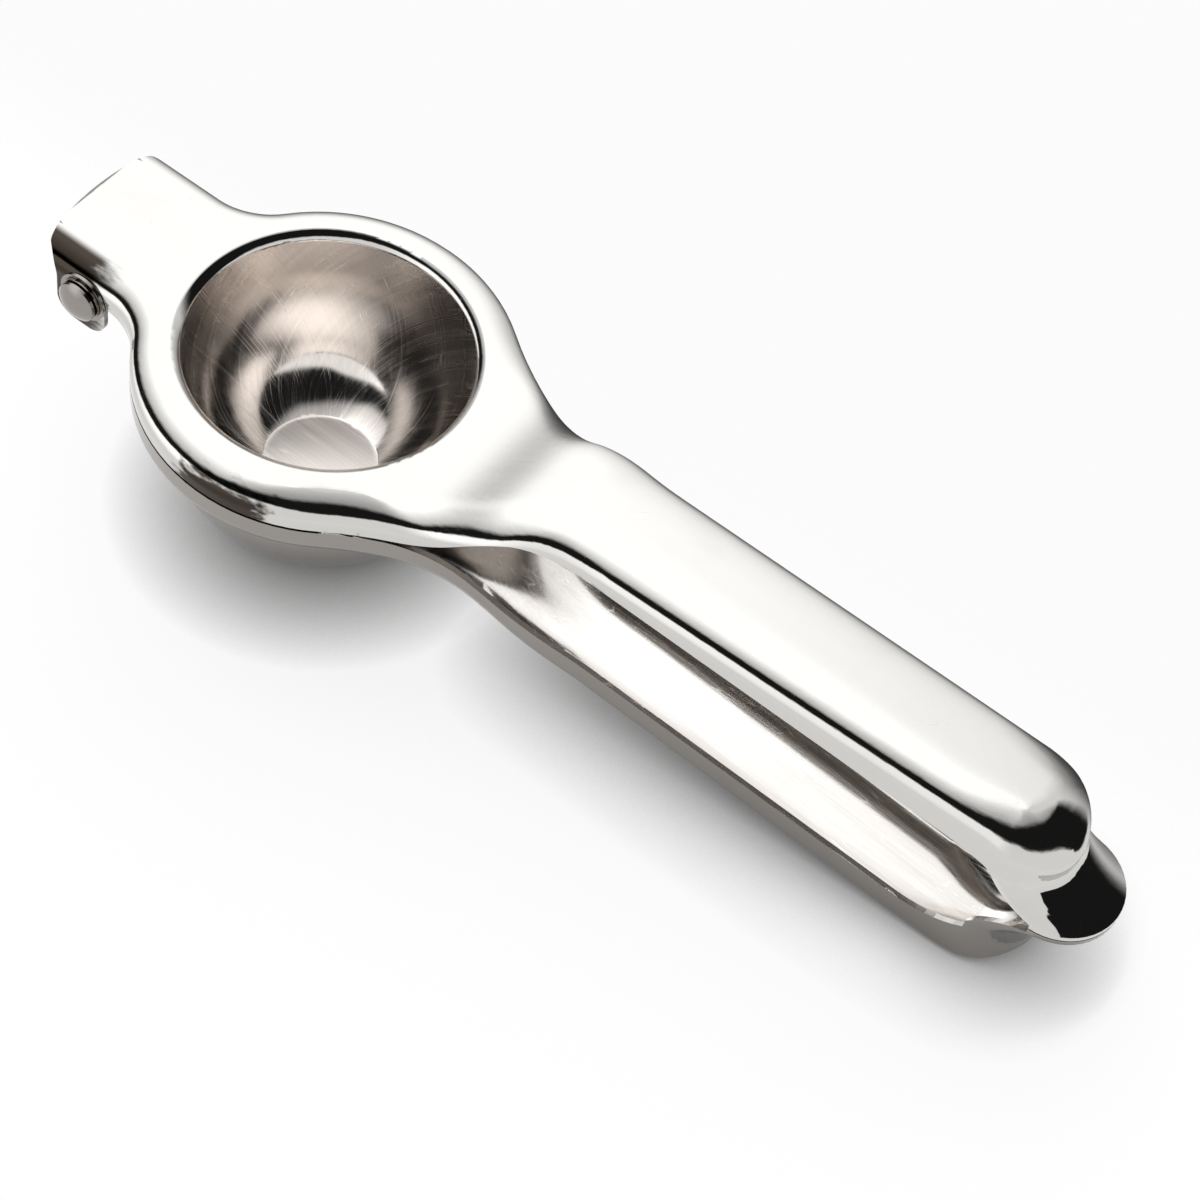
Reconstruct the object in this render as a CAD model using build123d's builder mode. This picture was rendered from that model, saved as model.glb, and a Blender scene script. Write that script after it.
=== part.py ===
from build123d import *
from math import atan, atan2, cos, degrees, hypot, radians, sin, sqrt
import os

# Hinged lemon squeezer, closed. The origin is the middle of the strainer bowl's flat bottom,
# +X runs from the hinge to the handle tips, +Z is up. All sizes are in millimetres and degrees.

# Sheet metal and clearances
sheet = 1.0
seam_gap = 0.6              # between the two levers' edges round the head
lip_gap = 0.3               # between the two lips
pin_play = 0.05             # radial, around the pin
side_play = 0.1             # axial, between things threaded on the pin
rind_gap = 2.0              # beside the cup, to the bowl
cup_lift = 4.7              # under the cup, to the bowl

# Strainer bowl and press cup
bowl_radius = 30.1          # outside, of its round part
bowl_flat_radius = 16.76    # of its bottom, before the corner is rounded
bowl_straight = 1.2         # tray's floor to where the bowl's wall curves in
bowl_rim_radius = 1.4       # inside, where the tray's floor bends into the bowl
bowl_corner_radius = 4.0    # outside, between round part and flat bottom
hole_radius = 1.6
hole_rings = [(0.37, 6), (0.692, 12)]   # place as a share of the flat's radius, and count
cup_flat_radius = 10.71
cup_rim_radius = 1.8        # outside, where the crown bends into the cup
cup_corner_radius = 2.5     # inside, between round part and flat bottom

# Plan of the levers
head_ledge = 4.7            # bowl to the head's edge
root_half_width = 12.3      # handle edge, run back to the bowl's axis
tip_half_width = 10.8       # handle edge at the nose's centre
handle_length = 112.0       # head's edge to the nose's centre
neck_fillet = 81.0
tongue_half_width = 15.6    # outer faces of the press lever's ears
tongue_length = 20.0        # head's edge to the tongue's rounded rear edge
tongue_fillet = 12.7
tongue_corner_radius = 3.5

# Side view of the press lever. A lead is how far a jog starts inside the head's edge, and a
# run-in how far a bend starts before the nose's centre.
crown_bend_radius = 5.8     # outside, where the crown turns down into the skirt
crown_jog_lead = 1.1
crown_jog_radius = 21.7
crown_jog_angle = 37.0
crown_jog_rise = 9.2
crown_slope_angle = 0.6     # handle's rise towards the nose
crown_drop_run_in = 3.8
crown_drop_radius = 16.0    # rounds the crown down over the nose
crown_drop_angle = 72.0
skirt_depth = 7.4           # crown to the skirt's edge, round the head
skirt_jog_lead = 3.0
skirt_jog_radius = 17.0
skirt_jog_angle = 31.0
skirt_jog_rise = 10.5
skirt_slope_angle = -2.0
skirt_drop_run_in = 9.8
skirt_drop_radius = 46.0
skirt_drop_angle = 11.0

# Side view of the strainer lever
tray_depth = 5.8            # edge to the underside of the floor, round the head
floor_bend_radius = 2.4     # outside, where the floor turns up into the wall
tray_jog_lead = 6.3
tray_jog_radius = 28.0
tray_jog_angle = 33.0
floor_jog_drop = 12.9
floor_slope_angle = 3.3     # fall towards the nose
floor_rise_run_in = 4.8
floor_rise_radius = 16.5    # rounds the floor up over the nose
floor_rise_angle = 80.0
rim_jog_drop = 12.7
rim_slope_angle = 2.9
rim_rise_run_in = 12.8
rim_rise_radius = 19.5
rim_rise_angle = 38.0

# Lips that meet where the handles end
lip_drop = 9.0              # crown of the head to the plane where the two lips meet
lip_set_out = 0.3           # a lip starts this far beyond the nose's centre
lip_reach = 9.8             # how far a lip flares beyond its nose
lip_angle = 56.0            # steepness at which a lip leaves its nose
press_lip_height = 7.6      # lips' plane to where the press lip leaves its nose
tray_lip_height = 9.0       # lips' plane to where the strainer lip leaves its nose

# Hinge
pin_set_back = 8.6          # behind the head's edge
pin_drop = 7.6              # below the crown
pin_radius = 2.0
ear_rear = 6.6              # press ear, behind the pin
ear_front = 4.7             # in front of it
ear_drop = 8.2              # below it
ear_corner_radius = 4.0
ear_root_radius = 1.5       # inner corner between ear and skirt
ear_set_in = 1.0            # tongue's rear edge to where the ear's rear edge meets the crown
inner_ear_half_width = 12.5 # outer faces of the strainer lever's ears
inner_ear_radius = 4.2      # also the floor's reach behind the pin
inner_ear_root_radius = 1.8
pin_head_radius = 4.0
pin_head_height = 2.2
pin_head_lift = 0.4         # bare shank under the head
pin_head_wall = 0.6         # upright part of the head
tail_radius = 2.7           # of the tail, peened flush into the far ear
ring_radius = 5.0
ring_thickness = 0.6
washer_radius = 4.3
washer_thickness = 0.5
spacer_radius = 2.6

reach = 200.0               # longer than anything that is trimmed

# Heights, from the bowl's bottom upwards
bowl_centre = sqrt(bowl_radius ** 2 - bowl_flat_radius ** 2)
floor_height = bowl_centre + bowl_straight
rim_height = floor_height + tray_depth
skirt_height = rim_height + seam_gap
crown_height = skirt_height + skirt_depth
cup_radius = bowl_radius - 2 * sheet - rind_gap
cup_bottom = 2 * sheet + cup_lift
cup_centre = cup_bottom + sqrt(cup_radius ** 2 - cup_flat_radius ** 2)
lip_height = crown_height - lip_drop
press_brim = lip_height + lip_gap / 2
press_waist = lip_height + press_lip_height
tray_brim = lip_height - lip_gap / 2
tray_waist = lip_height - tray_lip_height

# Places along the lever, and the pin
head_radius = bowl_radius + head_ledge
nose_x = head_radius + handle_length
lip_start = nose_x + lip_set_out
handle_taper = atan((root_half_width - tip_half_width) / nose_x)
nose_radius = tip_half_width * cos(handle_taper)
tongue_reach = head_radius + tongue_length
pin_x = -head_radius - pin_set_back
pin_height = crown_height - pin_drop
bore_radius = pin_radius + pin_play
ear_outside = tongue_half_width + side_play
pin_plane = Plane((pin_x, 0, pin_height), x_dir=(1, 0, 0), z_dir=(0, -1, 0))


def lever_plan(half_width, shoulder, inset):
    # Round head, tongue that runs off to the rear, tapered handle with a round nose.
    edge_x = nose_x + nose_radius * sin(handle_taper)
    edge_y = nose_radius * cos(handle_taper)
    with BuildSketch() as plan:
        Circle(head_radius)
        with BuildLine():
            Polyline((0, root_half_width), (edge_x, edge_y), (edge_x, -edge_y),
                     (0, -root_half_width), close=True)
        make_face()
        with Locations((nose_x, 0)):
            Circle(nose_radius)
        Rectangle(reach, 2 * half_width, align=(Align.MAX, Align.CENTER))
        fillet(plan.vertices().filter_by_position(Axis.X, -head_radius, 0), shoulder)
        fillet(plan.vertices().filter_by_position(Axis.X, 0, head_radius), neck_fillet)
        if inset:
            offset(amount=-inset, kind=Kind.INTERSECTION)
    return plan.sketch


def jogged_line(lead, height, radius, jog_angle, change, slope, run_in, inset=0):
    # Level from the rear, then a jog up or down near the head's edge, then a gentle slope that
    # stops run_in before the nose's centre. inset moves it away from the side it jogs to.
    turn = jog_angle if change > 0 else -jog_angle
    side = -inset if change > 0 else inset
    bends = radius * (1 + cos(radians(slope)) - 2 * cos(radians(jog_angle)))
    ramp = (abs(change) - bends) / sin(radians(jog_angle))
    level = Line((-reach, height + side), (head_radius - lead, height + side))
    into = JernArc(level @ 1, level % 1, radius + inset, turn)
    straight = Line(into @ 1, into @ 1 + (into % 1) * ramp)
    out = JernArc(straight @ 1, straight % 1, radius - inset, slope - turn)
    run = (nose_x - run_in - (out @ 1).X) / cos(radians(slope))
    return Line(out @ 1, out @ 1 + (out % 1) * run)


def press_skin(inset):
    # All that lies under the crown's skin, taken inwards by inset.
    with BuildPart() as skin:
        with BuildSketch():
            add(lever_plan(tongue_half_width, tongue_fillet, inset))
        extrude(amount=reach, both=True)
        with BuildSketch(Plane.XZ):
            with BuildLine():
                handle = jogged_line(crown_jog_lead, crown_height, crown_jog_radius,
                                     crown_jog_angle, crown_jog_rise, crown_slope_angle,
                                     crown_drop_run_in, inset)
                drop = JernArc(handle @ 1, handle % 1, crown_drop_radius - inset,
                               -crown_drop_angle)
                Polyline(drop @ 1, ((drop @ 1).X, -reach), (-reach, -reach),
                         (-reach, crown_height - inset))
            make_face()
        extrude(amount=reach, both=True, mode=Mode.INTERSECT)
        crown = skin.faces().filter_by(lambda face: face.normal_at().Z > 0.3)
        fillet(crown.edges().filter_by(Axis.Y, reverse=True), crown_bend_radius - inset)
    return skin.part


def tray_skin(inset):
    # All that lies above the tray's floor, taken inwards by inset.
    with BuildPart() as skin:
        with BuildSketch():
            add(lever_plan(inner_ear_half_width, inner_ear_root_radius, inset))
        extrude(amount=reach, both=True)
        with BuildSketch(Plane.XZ):
            with BuildLine():
                handle = jogged_line(tray_jog_lead, floor_height, tray_jog_radius,
                                     tray_jog_angle, -floor_jog_drop, -floor_slope_angle,
                                     floor_rise_run_in, inset)
                rise = JernArc(handle @ 1, handle % 1, floor_rise_radius - inset,
                               floor_rise_angle)
                Polyline(rise @ 1, ((rise @ 1).X, reach), (-reach, reach),
                         (-reach, floor_height + inset))
            make_face()
        extrude(amount=reach, both=True, mode=Mode.INTERSECT)
        floor = skin.faces().filter_by(lambda face: face.normal_at().Z < -0.3)
        fillet(floor.edges().filter_by(Axis.Y, reverse=True), floor_bend_radius - inset)
    return skin.part


def lip_outline(shift, height, inset, open_by):
    # The nose's round end at some height, its flat side open_by behind the lip's own edge.
    with BuildSketch(Plane.XY.offset(height)) as outline:
        with Locations((nose_x + shift, 0)):
            Circle(nose_radius - inset)
            Rectangle(open_by, 2 * (nose_radius - inset), align=(Align.MAX, Align.CENTER))
        with Locations((lip_start + shift - open_by, 0)):
            Rectangle(reach, reach, align=(Align.MIN, Align.CENTER), mode=Mode.INTERSECT)
    return outline.sketch


def flared_lip(waist, brim, inset, open_by):
    # The nose's end carried outwards along an arc from its waist to the lip's brim, and on to
    # the brim's edge. inset takes it inwards, square to the arc where the lip reaches furthest.
    side = 1 if brim > waist else -1
    rise = abs(brim - waist) - sheet
    steep = radians(lip_angle)
    turn = 2 * (lip_angle - degrees(atan2(rise, lip_reach)))
    radius = hypot(lip_reach, rise) / 2 / sin(radians(turn / 2))
    start = (inset * (1 - sin(steep)), waist + side * inset * cos(steep))
    with BuildPart() as flare:
        with BuildLine(Plane.XZ) as path:
            arc = JernArc(start, (cos(steep), side * sin(steep)), radius + inset, -side * turn)
        sweep(lip_outline(start[0], start[1], inset, open_by), path.line, normal=(0, 0, 1))
        end = path.line @ 1
        with BuildSketch(Plane.XY.offset(end.Z)):
            add(lip_outline(end.X, end.Z, inset, open_by))
        extrude(amount=side * sheet)
    return flare.part


def dish(radius, centre, bottom, corner, top, rim_bend):
    # Round bowl with a flat bottom that opens into a disc of sheet on top, through a bend where
    # rim_bend isn't 0.
    with BuildPart() as bowl:
        with BuildSketch(Plane.XZ) as half:
            with Locations((0, centre)):
                Circle(radius)
                Rectangle(reach, reach, align=(Align.CENTER, Align.MIN), mode=Mode.SUBTRACT)
                Rectangle(2 * radius, top - centre, align=(Align.CENTER, Align.MIN))
            with Locations((0, top)):
                Rectangle(2 * radius + 4 * rim_bend, sheet, align=(Align.CENTER, Align.MIN))
            with Locations((0, bottom)):
                Rectangle(reach, reach, align=(Align.CENTER, Align.MAX), mode=Mode.SUBTRACT)
            if rim_bend:
                fillet(half.vertices().group_by(Axis.Y)[-2].sort_by(Axis.X)[1:3], rim_bend)
            fillet(half.vertices().group_by(Axis.Y)[0], corner)
            Rectangle(reach, reach, align=(Align.MAX, Align.CENTER), mode=Mode.SUBTRACT)
        revolve(axis=Axis.Z)
    return bowl.part


def disc_on_pin(radius, start, thickness):
    # Round plate on the pin's axis, drawn outwards from start, on the near side where positive.
    with BuildSketch(pin_plane.offset(start)) as face:
        Circle(radius)
        Circle(bore_radius, mode=Mode.SUBTRACT)
    extrude(face.sketch, amount=thickness if start > 0 else -thickness)


# Upper lever: an inverted channel with the drawn press cup, two ears and the upper lip
with BuildPart() as press_lever:
    add(press_skin(0))
    with BuildSketch(Plane.XZ) as kept:
        with BuildLine():
            edge = jogged_line(skirt_jog_lead, skirt_height, skirt_jog_radius, skirt_jog_angle,
                               skirt_jog_rise, skirt_slope_angle, skirt_drop_run_in)
            droop = JernArc(edge @ 1, edge % 1, skirt_drop_radius, -skirt_drop_angle)
            Polyline(droop @ 1, (lip_start, press_waist), (reach, press_waist), (reach, reach),
                     (-reach, reach), (-reach, skirt_height))
        make_face()
        with Locations((pin_x + ear_front, skirt_height)):
            Rectangle(ear_rear + ear_front, skirt_height - pin_height + ear_drop,
                      align=(Align.MAX, Align.MAX))
        with BuildLine():
            Line((pin_x - ear_rear, 0), (pin_x - ear_rear, pin_height))
            flank = TangentArc((pin_x - ear_rear, pin_height),
                               (ear_set_in - tongue_reach, crown_height - sheet),
                               tangent=(0, 1))
            Polyline(flank @ 1, (-reach, crown_height - sheet), (-reach, 0),
                     (pin_x - ear_rear, 0))
        make_face(mode=Mode.SUBTRACT)
        inside_root = kept.vertices().filter_by_position(Axis.X, pin_x, 0).sort_by(Axis.Y)[-1]
        fillet(inside_root, ear_root_radius)
        fillet(kept.vertices().group_by(Axis.Y)[0], ear_corner_radius)
    extrude(amount=reach, both=True, mode=Mode.INTERSECT)
    add(flared_lip(press_waist, press_brim, 0, 0))
    add(press_skin(sheet), mode=Mode.SUBTRACT)
    add(flared_lip(press_waist, press_brim, sheet, nose_radius), mode=Mode.SUBTRACT)
    with BuildSketch(mode=Mode.PRIVATE) as tongue_end:
        Circle(tongue_reach)
        Rectangle(2 * reach, 2 * tongue_half_width, mode=Mode.INTERSECT)
        fillet(tongue_end.vertices().group_by(Axis.X)[0], tongue_corner_radius)
    with BuildSketch():
        with Locations((pin_x, 0)):
            Rectangle(2 * reach, 2 * head_radius, align=(Align.MAX, Align.CENTER))
        add(tongue_end.sketch, mode=Mode.SUBTRACT)
    extrude(amount=reach, mode=Mode.SUBTRACT)
    add(dish(cup_radius + sheet, cup_centre, cup_bottom - sheet, cup_corner_radius + sheet,
             crown_height - sheet, 0))
    add(dish(cup_radius, cup_centre, cup_bottom, cup_corner_radius, crown_height,
             cup_rim_radius), mode=Mode.SUBTRACT)
    with BuildSketch(pin_plane):
        Circle(bore_radius)
    extrude(amount=reach, both=True, mode=Mode.SUBTRACT)
    with BuildSketch(pin_plane.offset(-tongue_half_width)):
        Circle(tail_radius + pin_play)
    extrude(amount=tail_radius - pin_radius, taper=45, mode=Mode.SUBTRACT)

# Lower lever: an open tray with the drawn strainer bowl, two ears and the lower lip
with BuildPart() as strainer_lever:
    add(tray_skin(0))
    with BuildSketch(Plane.XZ) as kept:
        with BuildLine():
            edge = jogged_line(tray_jog_lead, rim_height, tray_jog_radius, tray_jog_angle,
                               -rim_jog_drop, -rim_slope_angle, rim_rise_run_in)
            rise = JernArc(edge @ 1, edge % 1, rim_rise_radius,
                           rim_rise_angle + rim_slope_angle)
            Polyline(rise @ 1, (lip_start, tray_waist), (reach, tray_waist), (reach, -reach),
                     (-reach, -reach), (-reach, rim_height))
        make_face()
        with Locations((pin_x - inner_ear_radius, 0)):
            Rectangle(reach, 3 * reach, align=(Align.MAX, Align.CENTER), mode=Mode.SUBTRACT)
        with Locations((pin_x - inner_ear_radius, pin_height)):
            Rectangle(reach, reach, align=(Align.MAX, Align.MIN), mode=Mode.SUBTRACT)
        with Locations((pin_x, pin_height)):
            Circle(inner_ear_radius)
            Rectangle(inner_ear_radius, tray_depth, align=(Align.MAX, Align.MAX))
        root = kept.vertices().filter_by_position(Axis.X, pin_x, 0).sort_by(Axis.Y)[-1]
        fillet(root, inner_ear_root_radius)
    extrude(amount=reach, both=True, mode=Mode.INTERSECT)
    add(flared_lip(tray_waist, tray_brim, 0, 0))
    add(tray_skin(sheet), mode=Mode.SUBTRACT)
    add(flared_lip(tray_waist, tray_brim, sheet, nose_radius), mode=Mode.SUBTRACT)
    add(dish(bowl_radius, bowl_centre, 0, bowl_corner_radius, floor_height, 0))
    add(dish(bowl_radius - sheet, bowl_centre, sheet, bowl_corner_radius - sheet,
             floor_height + sheet, bowl_rim_radius), mode=Mode.SUBTRACT)
    with BuildSketch():
        for share, count in hole_rings:
            with PolarLocations(share * bowl_flat_radius, count):
                Circle(hole_radius)
    extrude(amount=sheet, mode=Mode.SUBTRACT)
    with BuildSketch(pin_plane):
        Circle(bore_radius)
    extrude(amount=reach, both=True, mode=Mode.SUBTRACT)

# Riveted hinge: a ring and a washer under the pin's domed head, sleeves between the ears, and
# the pin's tail peened into the far ear's countersink
washer_start = ear_outside + ring_thickness + side_play
head_start = washer_start + washer_thickness + pin_head_lift

with BuildPart() as hinge_pin:
    with BuildSketch(Plane(pin_plane.origin, x_dir=(0, -1, 0), z_dir=(0, 0, 1))):
        with BuildLine():
            dome = TangentArc((head_start + pin_head_height, 0),
                              (head_start + pin_head_wall, pin_head_radius), tangent=(0, 1))
            Polyline(dome @ 1, (head_start, pin_head_radius), (head_start, pin_radius),
                     (tail_radius - pin_radius - tongue_half_width, pin_radius),
                     (-tongue_half_width, tail_radius), (-tongue_half_width, 0), dome @ 0)
        make_face()
    revolve(axis=Axis(pin_plane.origin, (0, 1, 0)))

with BuildPart() as near_ring:
    disc_on_pin(ring_radius, ear_outside, ring_thickness)

with BuildPart() as near_washer:
    disc_on_pin(washer_radius, washer_start, washer_thickness)

spacer_start = inner_ear_half_width + side_play
spacer_thickness = tongue_half_width - sheet - side_play - spacer_start

with BuildPart() as near_spacer:
    disc_on_pin(spacer_radius, spacer_start, spacer_thickness)

with BuildPart() as far_spacer:
    disc_on_pin(spacer_radius, -spacer_start, spacer_thickness)

press_lever.part.label = "press_lever"
strainer_lever.part.label = "strainer_lever"
hinge_pin.part.label = "hinge_pin"
near_ring.part.label = "near_ring"
near_washer.part.label = "near_washer"
near_spacer.part.label = "near_spacer"
far_spacer.part.label = "far_spacer"

os.makedirs("parts", exist_ok=True)
export_step(press_lever.part, "parts/press_lever.step")
export_step(strainer_lever.part, "parts/strainer_lever.step")
export_step(hinge_pin.part, "parts/hinge_pin.step")
export_step(near_ring.part, "parts/near_ring.step")
export_step(near_washer.part, "parts/near_washer.step")
export_step(near_spacer.part, "parts/near_spacer.step")
export_step(far_spacer.part, "parts/far_spacer.step")
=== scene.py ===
import bpy
import bmesh
from math import acos, asin, atan, atan2, cos, exp, hypot, pi, radians, sin
from mathutils import Matrix, Vector
from mathutils.kdtree import KDTree


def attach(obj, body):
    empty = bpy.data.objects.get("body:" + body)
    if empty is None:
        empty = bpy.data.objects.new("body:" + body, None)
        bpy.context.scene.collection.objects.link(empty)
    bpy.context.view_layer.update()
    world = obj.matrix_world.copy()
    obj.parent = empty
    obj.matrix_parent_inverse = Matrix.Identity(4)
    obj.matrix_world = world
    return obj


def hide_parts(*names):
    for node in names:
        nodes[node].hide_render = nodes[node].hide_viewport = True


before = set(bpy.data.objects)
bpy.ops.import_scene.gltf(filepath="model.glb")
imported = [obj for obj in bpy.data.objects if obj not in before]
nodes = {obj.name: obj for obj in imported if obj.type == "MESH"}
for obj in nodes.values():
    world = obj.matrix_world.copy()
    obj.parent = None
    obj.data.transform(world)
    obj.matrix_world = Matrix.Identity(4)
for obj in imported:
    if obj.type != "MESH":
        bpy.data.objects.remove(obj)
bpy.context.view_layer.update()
print("frame loaded:", ", ".join(sorted(nodes)))

# Camera: a 90 mm lens over the near side of the handle
shot = {
    "place": (0.198588, -0.272793, 0.450010),
    "turn": (34.8154, -7.2589, 36.7943),   # degrees
    "lens": 90,
}
cameraData = bpy.data.cameras.new("camera")
cameraData.lens = shot["lens"]
cameraData.sensor_width = 36
camera = bpy.data.objects.new("camera", cameraData)
camera.location = shot["place"]
camera.rotation_euler = [radians(a) for a in shot["turn"]]
bpy.context.scene.collection.objects.link(camera)
bpy.context.scene.camera = camera


# Small helpers for node trees
def addNode(tree, kind, **settings):
    node = tree.nodes.new(kind)
    for name, value in settings.items():
        setattr(node, name, value)
    return node


def feed(tree, inlet, value):
    if isinstance(value, bpy.types.NodeSocket):
        tree.links.new(value, inlet)
    else:
        inlet.default_value = value


def maths(tree, operation, *values):
    node = addNode(tree, "ShaderNodeMath", operation=operation)
    for inlet, value in zip(node.inputs, values):
        feed(tree, inlet, value)
    return node.outputs[0]


def ramp(tree, value, start, end, low=0.0, high=1.0, kind="SMOOTHSTEP"):
    node = addNode(tree, "ShaderNodeMapRange", interpolation_type=kind)
    for inlet, given in zip(node.inputs, (value, start, end, low, high)):
        feed(tree, inlet, given)
    return node.outputs[0]


def blendColour(tree, share, a, b):
    node = addNode(tree, "ShaderNodeMix", data_type="RGBA")
    feed(tree, node.inputs[0], share)
    feed(tree, node.inputs[6], a)
    feed(tree, node.inputs[7], b)
    return node.outputs[2]


def curve(tree, value, points):
    # Smooth curve through (value, result) pairs, level past both ends
    low, high = points[0][0], points[-1][0]
    floorLevel = min(p[1] for p in points)
    span = max(p[1] for p in points) - floorLevel
    node = addNode(tree, "ShaderNodeFloatCurve")
    line = node.mapping.curves[0]
    spots = [((x - low) / (high - low), (y - floorLevel) / span) for x, y in points]
    line.points[0].location, line.points[1].location = spots[0], spots[-1]
    for spot in spots[1:-1]:
        line.points.new(*spot)
    for point in line.points:
        point.handle_type = "AUTO_CLAMPED"
    node.mapping.update()
    feed(tree, node.inputs["Value"], ramp(tree, value, low, high, kind="LINEAR"))
    return maths(tree, "MULTIPLY_ADD", node.outputs[0], span, floorLevel)


# World: a white studio with a dark room round the camera; all angles in degrees
studio = {
    "pitch": 4.1,              # by which the resting tool leans in its own frame
    "front": 0.98,             # white below the room, on the camera's side
    "back": 1.65,              # large window behind the tool
    "room": 0.012,
    "roomFrom": -198,          # azimuth from the tool's length
    "roomTo": 62,
    "roomFoot": [(-200, -8), (-180, 8), (-165, 18), (-140, 30), (-122, 36), (-100, 39),
                 (-75, 42), (-50, 38), (-30, 36), (0, 30), (20, 18), (40, -2), (62, -6)],
    "roomTop": [(-200, 12), (-180, 26), (-165, 35), (-140, 46), (-120, 51), (-90, 62),
                (-40, 67), (0, 62), (40, 54), (62, 42)],
    "footBlur": (-2, 3),       # soft borders of the room
    "topBlur": (-5, 3),
    "fromBlur": 12,
    "toBlur": 8,
    "haze": 24,                # height of the grey fade above the room
    "hazeShade": 0.42,
    "seam": 100,               # azimuth where the room's two ends are counted from
    "window": 150,             # azimuth of the large window, on either side
    "windowEdge": (30, 75),
    "windowRise": (-5, 25),
    "farTurn": (52, 84),       # azimuth past which the far side dims towards the horizon
    "farSide": [(-90, 0.03), (-30, 0.04), (-12, 0.1), (2, 0.36), (18, 0.78), (45, 1.0), (90, 1.0)],
    "camera": (0.97, 0.97, 0.97, 1),
}
world = bpy.data.worlds.new("studio")
bpy.context.scene.world = world
world.use_nodes = True
sky = world.node_tree
background = sky.nodes["Background"]
direction = addNode(sky, "ShaderNodeTexCoord").outputs["Generated"]
level = addNode(sky, "ShaderNodeVectorRotate", rotation_type="Y_AXIS")
feed(sky, level.inputs["Vector"], direction)
feed(sky, level.inputs["Angle"], radians(studio["pitch"]))
axes = addNode(sky, "ShaderNodeSeparateXYZ")
feed(sky, axes.inputs[0], level.outputs[0])
azimuth = maths(sky, "MULTIPLY", maths(sky, "ARCTAN2", axes.outputs[1], axes.outputs[0]), 180 / pi)
elevation = maths(sky, "MULTIPLY", maths(sky, "ARCSINE", axes.outputs[2]), 180 / pi)
pastSeam = maths(sky, "GREATER_THAN", azimuth, studio["seam"])
bearing = maths(sky, "MULTIPLY_ADD", pastSeam, -360, azimuth)
overFoot = maths(sky, "SUBTRACT", elevation, curve(sky, bearing, studio["roomFoot"]))
overFoot = ramp(sky, overFoot, *studio["footBlur"])
overTop = maths(sky, "SUBTRACT", elevation, curve(sky, bearing, studio["roomTop"]))
roomFrom, roomTo = studio["roomFrom"], studio["roomTo"]
left = ramp(sky, bearing, roomFrom - studio["fromBlur"], roomFrom + studio["fromBlur"])
right = ramp(sky, bearing, roomTo - studio["toBlur"], roomTo + studio["toBlur"], 1, 0)
roomSide = maths(sky, "MULTIPLY", maths(sky, "MULTIPLY", left, right), overFoot)
dark = maths(sky, "MULTIPLY", roomSide, ramp(sky, overTop, *studio["topBlur"], 1, 0))
haze = maths(sky, "MULTIPLY", roomSide, ramp(sky, overTop, 0, studio["haze"], 1, 0, kind="LINEAR"))
behind = maths(sky, "SUBTRACT", maths(sky, "ABSOLUTE", azimuth), studio["window"])
behind = maths(sky, "ABSOLUTE", behind)
glow = maths(sky, "MULTIPLY", ramp(sky, behind, *studio["windowEdge"], 1, 0),
             ramp(sky, elevation, *studio["windowRise"]))
lit = ramp(sky, glow, 0, 1, studio["front"], studio["back"], kind="LINEAR")
lit = maths(sky, "MULTIPLY", lit, ramp(sky, haze, 0, 1, 1, studio["hazeShade"], kind="LINEAR"))
far = ramp(sky, azimuth, *studio["farTurn"])
farLight = curve(sky, elevation, studio["farSide"])
lit = maths(sky, "MULTIPLY", lit, ramp(sky, far, 0, 1, 1, farLight, kind="LINEAR"))
seen = maths(sky, "ADD", maths(sky, "MULTIPLY", lit, maths(sky, "SUBTRACT", 1, dark)),
             maths(sky, "MULTIPLY", dark, studio["room"]))
eye = addNode(sky, "ShaderNodeLightPath").outputs["Is Camera Ray"]
feed(sky, background.inputs["Color"], blendColour(sky, eye, seen, studio["camera"]))
background.inputs["Strength"].default_value = 1.0

# The floor leans against the tool's frame: it rests on the bowl and on the handle's end
ground = {
    "touches": (0.0155, 0, 0),    # edge of the bowl's flat bottom
    "size": 1.6,
    "colour": (0.26, 0.26, 0.26, 1),
    "lift": 0.785,                # pale glow that close cover takes away, a painted contact shadow
    "cover": 0.019,               # how near that cover has to be
    "coverPower": 1.6,
    "roughness": 0.9,
    "farEdge": 0.055,             # where it has faded out behind the tool
    "farFade": 0.035,
    "reach": 0.62,                # and all round it
}
floorMesh = bpy.data.meshes.new("floor")
half = ground["size"] / 2
lean = Matrix.Translation(ground["touches"]) @ Matrix.Rotation(-radians(studio["pitch"]), 4, "Y")
corners = [lean @ Vector((x, y, 0)) for x, y in
           ((-half, -half), (half, -half), (half, ground["farEdge"]), (-half, ground["farEdge"]))]
floorMesh.from_pydata(corners, [], [(0, 1, 2, 3)])
floor = bpy.data.objects.new("floor", floorMesh)
bpy.context.scene.collection.objects.link(floor)
floorFinish = bpy.data.materials.new("paleFloor")
floorFinish.use_nodes = True
floorTree = floorFinish.node_tree
floorShader = floorTree.nodes["Principled BSDF"]
floorShader.inputs["Base Color"].default_value = ground["colour"]
floorShader.inputs["Roughness"].default_value = ground["roughness"]
floorShader.inputs["Specular IOR Level"].default_value = 0.0
# Painted contact shadow: the floor's glow follows ambient occlusion, so it dims where the tool is close
# above
cover = addNode(floorTree, "ShaderNodeAmbientOcclusion", samples=8)
cover.inputs["Distance"].default_value = ground["cover"]
openFloor = maths(floorTree, "POWER", cover.outputs["AO"], ground["coverPower"])
feed(floorTree, floorShader.inputs["Emission Color"], openFloor)
floorShader.inputs["Emission Strength"].default_value = ground["lift"]
spot = addNode(floorTree, "ShaderNodeTexCoord").outputs["Object"]
spotAxes = addNode(floorTree, "ShaderNodeSeparateXYZ")
feed(floorTree, spotAxes.inputs[0], spot)
spotLength = addNode(floorTree, "ShaderNodeVectorMath", operation="LENGTH")
feed(floorTree, spotLength.inputs[0], spot)
fadeStart = ground["farEdge"] - ground["farFade"]
inFront = ramp(floorTree, spotAxes.outputs[1], fadeStart, ground["farEdge"], 1, 0)
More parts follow.
